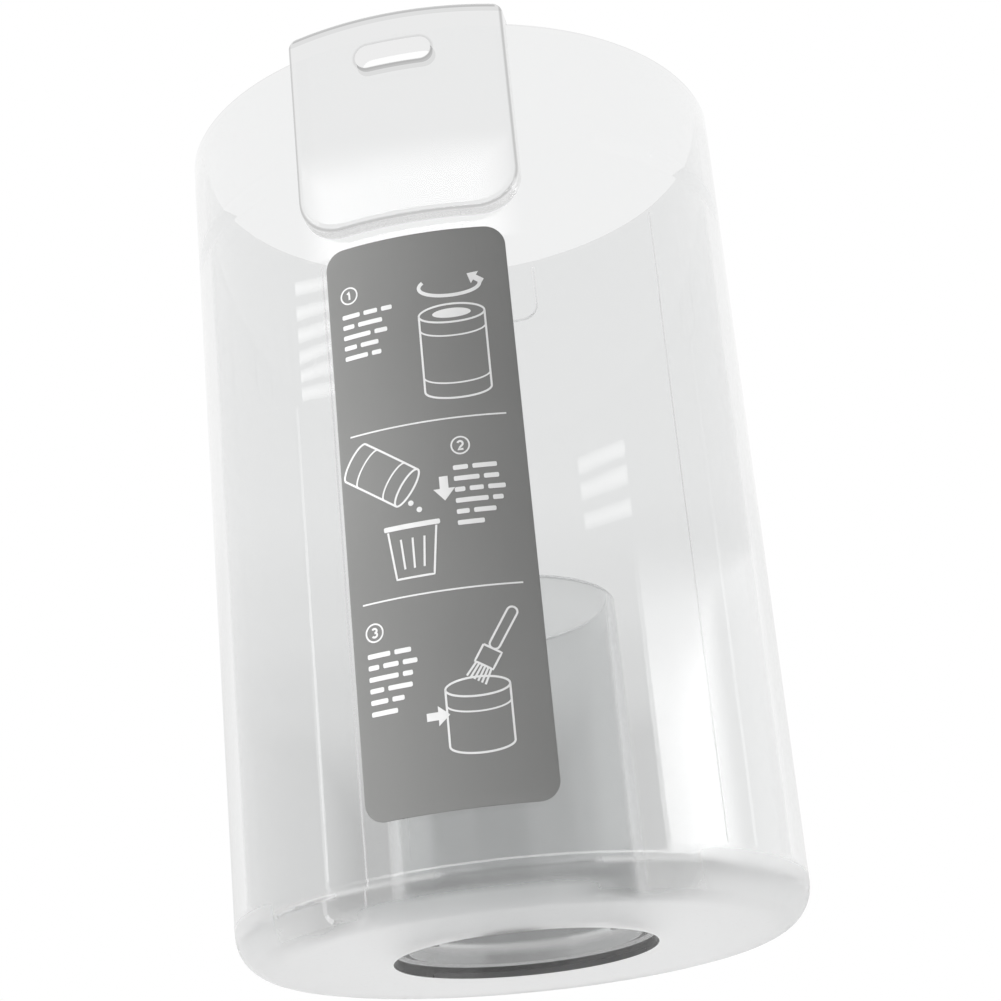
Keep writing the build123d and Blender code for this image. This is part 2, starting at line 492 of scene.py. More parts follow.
def new_material(name):
    """Material with its nodes cleared, and its output."""
    material = bpy.data.materials.new(name)
    material.use_nodes = True
    material.node_tree.nodes.clear()
    return material, material.node_tree, material.node_tree.nodes.new("ShaderNodeOutputMaterial")


def add_marks(tree, wave_scale, scuff_scale, roughness, scuff):
    """The handling marks group on Object coordinates, with this material's values."""
    place = tree.nodes.new("ShaderNodeTexCoord")
    marks = tree.nodes.new("ShaderNodeGroup")
    marks.node_tree = handling_marks()
    marks.inputs["Wave Scale"].default_value = wave_scale
    marks.inputs["Scuff Scale"].default_value = scuff_scale
    marks.inputs["Roughness"].default_value = roughness
    marks.inputs["Scuff"].default_value = scuff
    tree.links.new(place.outputs["Object"], marks.inputs["Vector"])
    return marks


def sum_up(operation, first, second=0.0):
    """Result of a plain operation on two values, of which at least one is a socket."""
    tree = (second if isinstance(first, float) else first).id_data
    node = tree.nodes.new("ShaderNodeMath")
    node.operation = operation
    for socket, value in zip(node.inputs, (first, second)):
        if isinstance(value, float):
            socket.default_value = value
        else:
            tree.links.new(value, socket)
    return node.outputs["Value"]


def both(*masks):
    """On where all the masks are on: their product."""
    result = masks[0]
    for mask in masks[1:]:
        result = sum_up("MULTIPLY", result, mask)
    return result


def either(first, second):
    """On where one of two masks is on: the larger of them."""
    return sum_up("MAXIMUM", first, second)


def without(mask):
    """On where the mask is off: one less the mask."""
    return sum_up("SUBTRACT", 1.0, mask)


def beyond(first, second):
    """How much the first value is more than the second, or zero."""
    return sum_up("MAXIMUM", sum_up("SUBTRACT", first, second), 0.0)


def far(first, second):
    """Distance from the origin: the root of the sum of both squares."""
    return sum_up("SQRT", sum_up("ADD", both(first, first), both(second, second)))


def ease(value, limits, before, after):
    """Smooth step of a value between two limits, from one tone to another."""
    tree = value.id_data
    node = tree.nodes.new("ShaderNodeMapRange")
    node.interpolation_type = "SMOOTHSTEP"
    for name, number in zip(("From Min", "From Max", "To Min", "To Max"), (*limits, before, after)):
        node.inputs[name].default_value = number
    tree.links.new(value, node.inputs["Value"])
    return node.outputs["Result"]


def step(value, limits):
    """Mask that comes on between two limits."""
    return ease(value, limits, 0.0, 1.0)


def drop(value, limits):
    """Mask that goes off between two limits."""
    return ease(value, limits, 1.0, 0.0)


def past(edge, margins):
    """Limits at two margins past an edge."""
    return edge + margins[0], edge + margins[1]


def tinted(colour, mask, other):
    """Colour that turns into another where the mask is on."""
    tree = mask.id_data
    mix = tree.nodes.new("ShaderNodeMix")
    mix.data_type = "RGBA"
    for socket, value in ((mix.inputs["A"], colour), (mix.inputs["B"], other)):
        if isinstance(value, bpy.types.NodeSocket):
            tree.links.new(value, socket)
        else:
            socket.default_value = value
    tree.links.new(mask, mix.inputs["Factor"])
    return mix.outputs["Result"]


def straight(share, mask, shader):
    """Shader that lets a share of the light go straight on where the mask is on."""
    tree = shader.id_data
    clear = tree.nodes.new("ShaderNodeBsdfTransparent")
    clear.inputs["Color"].default_value = (share, share, share, 1.0)
    mix = tree.nodes.new("ShaderNodeMixShader")
    tree.links.new(mask, mix.inputs["Fac"])
    tree.links.new(shader, mix.inputs[1])
    tree.links.new(clear.outputs["BSDF"], mix.inputs[2])
    return mix.outputs["Shader"]


def raise_surface(shader, height, strength, distance):
    """Bump from a height, on the shader's normal."""
    tree = height.id_data
    bump = tree.nodes.new("ShaderNodeBump")
    bump.inputs["Strength"].default_value = strength
    bump.inputs["Distance"].default_value = distance
    tree.links.new(height, bump.inputs["Height"])
    tree.links.new(bump.outputs["Normal"], shader.inputs["Normal"])


def cup_place(tree):
    """Object coordinates x, y and z, with the distance from the axis and the distance to either side."""
    place = tree.nodes.new("ShaderNodeTexCoord")
    split = tree.nodes.new("ShaderNodeSeparateXYZ")
    tree.links.new(place.outputs["Object"], split.inputs["Vector"])
    x, y, z = (split.outputs[axis] for axis in "XYZ")
    return SimpleNamespace(y=y, z=z, reach=far(x, y), wide=sum_up("ABSOLUTE", x))


def tab_zones(at, sizes, trim):
    """Masks of the tab's front face, of its sides and of the rounded edge of its face. The sides and the
    rounded edge carry painted shade that darkens the tab's outline.

    A point is on the edge where its distance from the centre of the nearest lower corner, or from the line
    between the centres, comes near the corner's radius.
    """
    rim = sizes.base_radius + sizes.rim_flare
    front = drop(at.y, FRONT)
    face = both(step(at.reach, past(rim, TAB_FACE)), front)
    sides = both(step(at.reach, past(rim, TAB_SIDES)), drop(at.reach, past(rim, TAB_FACE)), front)
    corner = trim.tab_lower_corner
    across = beyond(at.wide, trim.tab_width / 2 - corner)
    below = beyond(sizes.height - trim.tab_drop + corner, at.z)
    return face, sides, both(face, step(far(across, below), past(corner, TAB_EDGE)))


def slot_zones(at, face, sizes, trim):
    """Masks of the slot's wall and of the edge around it, by the distance from the slot's middle line. The
    edge carries painted shade, a dark ring round the slot.
    """
    half = trim.slot_height / 2
    above = sum_up("SUBTRACT", at.z, sizes.height - trim.slot_below_rim)
    away = far(beyond(at.wide, trim.slot_length / 2 - half), above)
    off = sum_up("ABSOLUTE", sum_up("SUBTRACT", away, half))
    wall = both(drop(off, SLOT_WALL), drop(at.y, FRONT))
    return wall, both(face, step(away, past(half, SLOT_EDGE)), drop(away, past(half, SLOT_FADE)))


def foot_zones(at, sizes):
    """Masks of the frost on the bottom corner and of the clear foot above it.

    The frost is high at both sides, and low in the middle, where the matte base fades out. A point is in the
    corner's skin where its distance from the centre of the corner's round comes near the corner's radius.
    The clear foot ends on a slope that falls towards the wall.
    """
    seat = sizes.bore + sizes.seat_ledge
    outward, downward = beyond(at.reach, sizes.base_radius - sizes.corner), beyond(sizes.corner, at.z)
    skin = step(far(outward, downward), past(sizes.corner, FROST_SKIN))
    at_sides = both(step(at.wide, FROST_SIDES), drop(at.z, FROST_TOP))
    in_middle = both(drop(at.wide, FADE_MIDDLE), drop(at.z, FADE_TOP))
    frost = both(skin, either(at_sides, in_middle))
    low = drop(at.z, FOOT_TOP)
    ring = both(low, step(at.z, FOOT_BOTTOM), step(at.reach, past(seat, FOOT_INSIDE)))
    slope = sum_up("ADD", at.z, sum_up("MULTIPLY", at.reach, FOOT_FALL))
    return frost, both(either(ring, both(low, step(slope, FOOT_SLOPE))), without(frost))


def clear_plastic(colours, sizes, trim):
    """Polished clear plastic: refracting, faintly grey and greyer in the tube, with a slow mould waviness,
    hairline scuffs, a matte underside that fades into the bottom corner, and a matte foot of the bore.
    Painted shade darkens the foot of the bore, the wall of the seal seat, the tab's sides and rounded edge,
    and the edge round the latch slot.

    Light goes straight on at thin edges, and wherever it stays caught in the wall, so edges stay light.
    """
    material, tree, output = new_material("clear_plastic")
    shader = tree.nodes.new("ShaderNodeBsdfPrincipled")
    shader.inputs["Metallic"].default_value = 0.0
    shader.inputs["Transmission Weight"].default_value = 1.0
    shader.inputs["IOR"].default_value = 1.5
    shader.inputs["Specular Tint"].default_value = (0.5, 0.5, 0.5, 1.0)
    at, path = cup_place(tree), tree.nodes.new("ShaderNodeLightPath").outputs
    inside = tree.nodes.new("ShaderNodeNewGeometry").outputs["Backfacing"]
    rim, seat = sizes.base_radius + sizes.rim_flare, sizes.bore + sizes.seat_ledge
    face, sides, outline = tab_zones(at, sizes, trim)
    slot, slot_edge_shade = slot_zones(at, face, sizes, trim)
    frost, foot = foot_zones(at, sizes)
    matte = both(drop(at.z, MATTE_TOP), step(at.reach, past(seat, MATTE_INSIDE)))
    bore = both(drop(at.reach, past(sizes.bore, BORE_SKIN)), drop(at.z, BORE_TOP))

    colour = colours.plastic
    for mask, other in (
        (drop(at.reach, past(seat, TUBE_SKIN)), colours.tube),
        (face, colours.tab),
        # Painted shade: a dark line along the rounded edge of the tab's face.
        (outline, colours.outline),
        # Painted shade: a dark ring round the latch slot.
        (slot_edge_shade, colours.slot_edge_shade),
        # Painted shade: the front of the bore's matte foot is tinted dark.
        (both(bore, without(inside)), colours.bore),
        (matte, colours.base),
        # Painted shade: near black on the wall of the seal seat, standing in for the dark of the recess.
        (both(drop(at.z, SEAT_TOP), drop(at.reach, past(seat, SEAT_SKIN))), colours.seat),
        # Painted shade: darker sides of the tab.
        (sides, colours.edge),
    ):
        colour = tinted(colour, mask, other)
    tree.links.new(colour, shader.inputs["Base Color"])

    marks = add_marks(tree, wave_scale=38.0, scuff_scale=1100.0, roughness=0.015, scuff=0.05)
    dull = sum_up("ADD", sum_up("MULTIPLY", matte, MATTE_BASE), sum_up("MULTIPLY", bore, MATTE_BORE))
    dull = either(dull, sum_up("MULTIPLY", frost, MATTE_CORNER))
    tree.links.new(sum_up("ADD", marks.outputs["Roughness"], dull), shader.inputs["Roughness"])
    raise_surface(shader, marks.outputs["Height"], strength=0.08, distance=0.6 * MM)

    rear = either(drop(at.reach, past(rim, LIP_SKIN)), step(at.y, REAR))
    lip = both(step(at.z, past(sizes.height, LIP_TOP)), rear)
    top = step(at.z, past(sizes.height + trim.tab_rise, TAB_TOP))
    mirrored = sum_up("GREATER_THAN", path["Glossy Depth"], CAUGHT_MIRRORED)
    caught = either(mirrored, sum_up("GREATER_THAN", path["Ray Depth"], CAUGHT_TURNED))
    first_met = sum_up("LESS_THAN", path["Ray Depth"], FIRST_TURN)
    surface = shader.outputs["BSDF"]
    for share, mask in (
        (THROUGH_FOOT, foot),
        (THROUGH_LIP, either(lip, slot)),
        (THROUGH_WALL, either(caught, top)),
        (THROUGH_SLOT, both(slot, inside)),
        (THROUGH_TAB_SIDES, both(sides, inside)),
        (THROUGH_UPPER_WALL, both(inside, first_met, step(at.z, UPPER_WALL))),
        (THROUGH_SHADOW, either(path["Is Shadow Ray"], path["Is Diffuse Ray"])),
    ):
        surface = straight(share, mask, surface)
    tree.links.new(surface, output.inputs["Surface"])
    return material


def shade(colour, share):
    """A share of a colour."""
    return tuple(share * part for part in colour[:3]) + (1.0,)


def printed_stock(name, colour, darkest, lightest, marks):
    """Opaque finish whose colour drifts between two shares of itself, with fine scuffs in its gloss."""
    material, tree, output = new_material(name)
    shader = tree.nodes.new("ShaderNodeBsdfPrincipled")
    marks = add_marks(tree, **marks)
    tone = tinted(shade(colour, darkest), marks.outputs["Height"], shade(colour, lightest))
    tree.links.new(tone, shader.inputs["Base Color"])
    tree.links.new(marks.outputs["Roughness"], shader.inputs["Roughness"])
    tree.links.new(shader.outputs["BSDF"], output.inputs["Surface"])
    return material, shader, marks


def label_film(colour):
    """Satin grey film with a slow tone change and fine grain."""
    grain = {"wave_scale": 26.0, "scuff_scale": 1500.0, "roughness": 0.36, "scuff": 0.05}
    material, shader, marks = printed_stock("label_film", colour, 0.90, 1.10, grain)
    shader.inputs["Specular IOR Level"].default_value = 0.2
    raise_surface(shader, marks.outputs["Mask"], strength=0.06, distance=0.1 * MM)
    return material


def label_ink(colour):
    """White screen print, a little uneven in cover."""
    cover = {"wave_scale": 300.0, "scuff_scale": 2200.0, "roughness": 0.42, "scuff": 0.12}
    return printed_stock("label_ink", colour, 0.86, 1.0, cover)[0]


def floor_paint(colour):
    """Matte pale floor that shows only from above, so that a camera under the cup sees the cup.

    It thins out into the white background with the distance from the cup.
    """
    material, tree, output = new_material("floor_paint")
    shader = tree.nodes.new("ShaderNodeBsdfDiffuse")
    shader.inputs["Color"].default_value = colour
    side = tree.nodes.new("ShaderNodeNewGeometry")
    place = tree.nodes.new("ShaderNodeTexCoord")
    away = tree.nodes.new("ShaderNodeVectorMath")
    away.operation = "LENGTH"
    tree.links.new(place.outputs["Object"], away.inputs[0])
    thin = either(step(away.outputs["Value"], FLOOR_FADE), side.outputs["Backfacing"])
    tree.links.new(straight(1.0, thin, shader.outputs["BSDF"]), output.inputs["Surface"])
    return material


def tone_ramp(value, tones):
    """Grey ramp through (place, tone) pairs."""
    tree = value.id_data
    ramp = tree.nodes.new("ShaderNodeValToRGB")
    ramp.color_ramp.interpolation = "EASE"
    points = ramp.color_ramp.elements
    for _ in tones[2:]:
        points.new(0.5)
    for point, (at, tone) in zip(points, tones):
        point.position = at
        point.color = (tone, tone, tone, 1.0)
    tree.links.new(value, ramp.inputs["Fac"])
    return ramp.outputs["Color"]


def card_light(name, brightness, tones, side_tones=None, joined="MINIMUM", walls=NEAREST_WALLS):
    """White light of a card, toned from its lower to its upper edge by (place, tone) pairs.

    Tones from its left to its right edge may be joined with them. Past the given number of plastic faces
    the card no longer shows, so that only the nearest wall mirrors it.
    """
    material, tree, output = new_material(name)
    light = tree.nodes.new("ShaderNodeEmission")
    light.inputs["Strength"].default_value = brightness
    place = tree.nodes.new("ShaderNodeUVMap")
    place.uv_map = "UVMap"
    split = tree.nodes.new("ShaderNodeSeparateXYZ")
    tree.links.new(place.outputs["UV"], split.inputs["Vector"])
    tone = tone_ramp(split.outputs["Y"], tones)
    if side_tones:
        tone = sum_up(joined, tone, tone_ramp(split.outputs["X"], side_tones))
    tree.links.new(tone, light.inputs["Color"])
    path = tree.nodes.new("ShaderNodeLightPath").outputs
    hidden = sum_up("GREATER_THAN", path["Transmission Depth"], walls + 0.5)
    if walls <= NEAREST_WALLS:
        hidden = either(hidden, sum_up("GREATER_THAN", path["Transparent Depth"], PASSED_ONE_FACE))
    tree.links.new(straight(1.0, hidden, light.outputs["Emission"]), output.inputs["Surface"])
    return material


def arc(x, z, rx, rz, start, end, steps=40):
    """Points of an ellipse arc between two angles in degrees."""
    turn = np.radians(np.linspace(start, end, steps))
    return np.stack([x + rx * np.cos(turn), z + rz * np.sin(turn)], -1)


def run(*corners):
    """Straight runs through the corners, divided every half millimetre."""
    corners = np.asarray(corners, float)
    parts = [
        a + (b - a) * np.linspace(0, 1, max(2, int(np.hypot(*(b - a)) * 2) + 1))[:-1, None]
        for a, b in zip(corners[:-1], corners[1:])
    ]
    return np.concatenate(parts + [corners[-1:]])


def stroke(path, width):
    """Ribbon of a width along a path: each point moves half the width to both sides, square to the path."""
    ahead = np.gradient(path, axis=0)
    side = np.stack([-ahead[:, 1], ahead[:, 0]], -1)
    side /= np.linalg.norm(side, axis=1)[:, None]
    points = np.concatenate([path + side * width / 2, path - side * width / 2])
    n = len(path)
    i = np.arange(n - 1)
    return points, np.stack([i + n, i + n + 1, i + 1, i], -1)


def solid(outline, middle, rings=6):
    """Filled shape: rings of the outline that shrink to the middle."""
    share = np.linspace(1, 0, rings)[:, None, None]
    middle = np.asarray(middle, float)
    points = middle + (outline - middle) * share
    return points.reshape(-1, 2), grid_faces(rings, len(outline))


def bar(x, z, width, height):
    """Filled strip with rounded ends, from its left end."""
    low, high, right = z - height / 2, z + height / 2, x + width
    steps, radius = max(2, int(width * 2)), 0.294 * height
    corners = [(x, low), (right, low), (right, high), (x, high)]
    outline = rounded_loop(corners, [radius] * 4, 3, (steps, 1, steps, 1))
    return solid(outline, (x + width / 2, z), 3)


def arrow(x, z, turn, size):
    """Filled arrow that points along the turn, in degrees from the right."""
    half = [(-1, -0.36), (0.05, -0.36), (0.05, -0.9), (1.1, 0)]
    shape = size * np.array(half + [(across, -up) for across, up in half[2::-1]])
    flat = solid(run(*shape, shape[0])[:-1], (0.1 * size, 0.0))
    return turned([flat], x, z, turn)[0]


def can(x, low, high, rx, line, bands=()):
    """Line drawing of an upright can: its top ring, its sides, its lower edge and half rings for bands."""
    rz = rx * 0.30
    shapes = [stroke(arc(x, high, rx, rz, 0, 360, 60), line)]
    shapes.append(stroke(run((x - rx, high), (x - rx, low)), line))
    shapes.append(stroke(run((x + rx, high), (x + rx, low)), line))
    shapes.append(stroke(arc(x, low, rx, rz, 180, 360), line))
    return shapes + [stroke(arc(x, z, rx, rz, 180, 360), line * 0.8) for z in bands]


def numeral(x, z, digit, line):
    """Plain numeral in a ring."""
    hook, foot = arc(0, 0.3, 0.45, 0.45, 160, -30, 16), run((0.36, 0.02), (-0.45, -0.75), (0.5, -0.75))
    strokes = {
        1: [run((-0.35, 0.35), (0.05, 0.75), (0.05, -0.75))],
        2: [np.concatenate([hook, foot])],
        3: [arc(0, 0.36, 0.42, 0.38, 150, -90, 16), arc(0, -0.36, 0.46, 0.40, 90, -150, 16)],
    }[digit]
    shapes = [stroke(arc(x, z, 1.55, 1.55, 0, 360, 40), line * 0.8)]
    return shapes + [stroke(s + (x, z), line) for s in strokes]


def words(x, z, widths, height=0.85):
    """Line of plain strips where a line of words would stand, from its left end."""
    starts = x + np.concatenate([[0.0], np.cumsum(np.asarray(widths[:-1]) + 0.75)])
    return [bar(start, z, width, height) for start, width in zip(starts, widths)]


def turned(shapes, x, z, degrees):
    """Shapes turned about their origin and then moved."""
    c, s = math.cos(math.radians(degrees)), math.sin(math.radians(degrees))
    return [(points @ np.array([[c, s], [-s, c]]) + (x, z), faces) for points, faces in shapes]


def turn_arrow(x, z, rx, rz, line):
    """Arrow that runs round the front of an ellipse."""
    end = math.radians(30)
    tip = (x + rx * math.cos(end), z + rz * math.sin(end))
    along = math.degrees(math.atan2(rz * math.cos(end), -rx * math.sin(end)))
    return [stroke(arc(x, z, rx, rz, 150, 390), line), arrow(*tip, along, 1.5)]


def waste_bin(x, low, line):
    """Line drawing of a waste bin: a rim, a tapered body and three ribs."""
    body = run((x - 4.3, low + 8.6), (x - 3.3, low), (x + 3.3, low), (x + 4.3, low + 8.6))
    ribs = [run((x + 1.7 * n, low + 1.6), (x + 2.1 * n, low + 7.0)) for n in (-1, 0, 1)]
    return [bar(x - 5.0, low + 9.2, 10.0, 0.9), stroke(body, line)] + [stroke(rib, line) for rib in ribs]


def hand_brush(line):
    """Line drawing of a brush that points to the right: a round handle, a square head and bristles."""
    handle = rounded_loop([(-7.0, -0.9), (1.0, -0.9), (1.0, 0.9), (-7.0, 0.9)], [0.85] * 4, 4, (8, 1, 8, 1))
    head = run((1.0, -1.7), (4.2, -1.7), (4.2, 1.7), (1.0, 1.7), (1.0, -1.7))
    bristles = [run((4.2, h), (7.0, 1.25 * h)) for h in np.linspace(-1.4, 1.4, 6)]
    outlines = [np.concatenate([handle, handle[:2]]), head] + bristles
    return [stroke(outline, line) for outline in outlines]


def print_shapes():
    """Three plain steps for emptying a cup, in millimetres across and up from the label's lower middle.

    Turn the cup, tip it over a bin, brush it out. Strips stand where words would.
    """
    line = 0.36
    steps = (
        (1, -12.4, 95.0, ((3.4, 2.6, 2.0), (2.2, 4.6), (5.2, 2.4), (2.4, 3.4), (4.4, 1.8))),
        (2, 5.4, 63.0, ((2.6, 4.2), (4.4, 2.6), (1.8, 2.4, 3.0), (5.6, 1.8), (2.2, 3.8), (4.6,))),
        (3, -12.4, 32.2, ((4.2, 3.0), (2.0, 2.8, 2.6), (5.4, 1.8), (2.6, 4.4), (3.2, 2.2), (4.8,))),
    )
    shapes = [stroke(run((-14.2, z), (13.8, z)), line * 0.8) for z in (68.2, 37.4)]
    for digit, x, z, lines in steps:
        shapes += numeral(x, z, digit, line)
        for row, widths in enumerate(lines):
            shapes += words(x - 1.6, z - 4.0 - 2.0 * row, widths)
    shapes += can(6.0, 73.6, 88.0, 5.8, line, (76.4, 85.4)) + turn_arrow(6.0, 93.4, 5.4, 2.0, line * 1.8)
    shapes += [solid(arc(6.0, 88.0, 3.4, 0.9, 0, 360, 40)[:-1], (6.0, 88.0), 4)]
    shapes += turned(can(0, -5.6, 5.6, 3.7, line, (-2.8, 3.0)), -9.0, 60.0, -126)
    crumbs = ((-4.0, 53.8), (-2.6, 52.4))
    shapes += [solid(arc(x, z, 0.5, 0.5, 0, 360, 12)[:-1], (x, z), 2) for x, z in crumbs]
    shapes += waste_bin(-4.2, 40.6, line) + [arrow(2.0, 55.6, -90, 2.1)]
    shapes += can(4.6, 10.6, 20.2, 5.4, line, (17.6,)) + turned(hand_brush(line), 8.2, 27.2, -122)
    shapes += [arrow(-2.4, 16.0, 0, 1.9)]
    return shapes


def wrap_print(name, shapes, radius, low):
    """Every shape laid on the label: across becomes arc length and height stays, at the film's own radius."""
    points, faces, count = [], [], 0
    for flat, quads in shapes:
        points.append(flat)
        faces.append(quads + count)
        count += len(flat)
    flat = np.concatenate(points) * MM
    z = flat[:, 1] + low
    r = radius(z)
    turn = flat[:, 0] / r
    placed = np.stack([r * np.sin(turn), -r * np.cos(turn), z], -1)
    return make_piece(name, placed, np.concatenate(faces))


def paint(piece, material):
    """The piece takes its material and rides on the cup."""
    piece.data.materials.clear()
    piece.data.materials.append(material)
    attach(piece, "root")


class DUSTCUP_OT_moulding(bpy.types.Operator):
    """Build the clear moulding with its tab, slot, rear pad, channels and inlet tube"""

    bl_idname = "dustcup.moulding"
    bl_label = "Clear Moulding"

    def execute(self, context):
        s, t = context.scene.cup_sizes, context.scene.cup_trim
        rim = s.base_radius + s.rim_flare
        buried = rim - s.wall / 2
        land = rim - s.wall + s.land_relief
        top = s.height + t.tab_rise
        cup = lathe("cup_moulding", cup_section(s), CUP_SEGMENTS)

        lean = [s.height - s.land_depth / 2, s.height - s.rim_rounding, top]
        tab = curved_plate(
            "tab",
            lambda e: plate_outline(
                t.tab_width, s.height - t.tab_drop, top, t.tab_lower_corner, t.tab_upper_corner, e
            ),
            lambda z: np.interp(z, lean, [buried, land + TAB_OFF_LAND, buried]),
            lambda z: rim + t.tab_proud + 0 * z,
            t.tab_rounding,
            rings=40,
        )
        pad_low, pad_high = s.height - t.pad_height, s.height - PAD_OFF_RIM
        pad = curved_plate(
            "pad",
            lambda e: plate_outline(t.pad_width, pad_low, pad_high, t.pad_corner, PAD_UPPER_CORNER, e),
            lambda z: buried + 0 * z,
            lambda z: rim + t.pad_proud + 0 * z,
            t.pad_rounding,
            math.pi,
        )
        channel_low, channel_high = t.channel_bottom, s.height + CHANNEL_PAST_RIM
        channels = [
            curved_plate(
                "channel",
                lambda e: plate_outline(
                    t.channel_width, channel_low, channel_high, t.channel_corner, CHANNEL_UPPER_CORNER, e
                ),
                lambda z: outer_radius(s, z) - t.channel_depth,
                lambda z: outer_radius(s, z) + CHANNEL_PAST_WALL,
                CHANNEL_EDGE,
                side * t.channel_azimuth,
                back_inset=CHANNEL_SLOPE,
            )
            for side in (1, -1)
        ]
        middle, half = s.height - t.slot_below_rim, t.slot_height / 2
        # A little under half the height, so that the short sides keep a run between their arcs.
        slot_corner = 0.995 * half
        slot = curved_plate(
            "slot",
            lambda e: plate_outline(
                t.slot_length, middle - half, middle + half, slot_corner, slot_corner, e
            ),
            lambda z: rim - SLOT_PAST_WALL + 0 * z,
            lambda z: rim + SLOT_PAST_WALL + 0 * z,
            SLOT_CUTTER_EDGE,
        )
        tools = [(piece, "DIFFERENCE") for piece in channels]
        combine(cup, tools + [(tab, "UNION"), (pad, "UNION"), (slot, "DIFFERENCE")])
        smooth(cup, 32)
        paint(cup, clear_plastic(context.scene.cup_colours, s, t))
        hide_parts("dust_cup")
        return {"FINISHED"}


class DUSTCUP_OT_label(bpy.types.Operator):
    """Build the label film and the print on it"""

    bl_idname = "dustcup.label"
    bl_label = "Printed Label"

    def execute(self, context):
        s, t, colours = context.scene.cup_sizes, context.scene.cup_trim, context.scene.cup_colours
        low, high = LABEL_LOW.z, LABEL_HIGH.z
        width = LABEL_HIGH.x - LABEL_LOW.x
        film = curved_plate(
            "label_film",
            lambda e: plate_outline(width, low, high, t.label_corner, t.label_corner, e),
            lambda z: outer_radius(s, z) + t.label_glue,
            lambda z: outer_radius(s, z) + t.label_glue + t.label_film,
            LABEL_EDGE,
            rings=24,
        )
        smooth(film, 40)
        paint(film, label_film(colours.film))
        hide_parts("label")
        ink = wrap_print(
            "label_print",
            print_shapes(),
            lambda z: outer_radius(s, z) + t.label_glue + t.label_film + t.ink_film,
            low,
        )
        depth = ink.modifiers.new("ink_film", "SOLIDIFY")
        depth.thickness = t.ink_film
        depth.offset = -1.0
        paint(ink, label_ink(colours.ink))
        return {"FINISHED"}


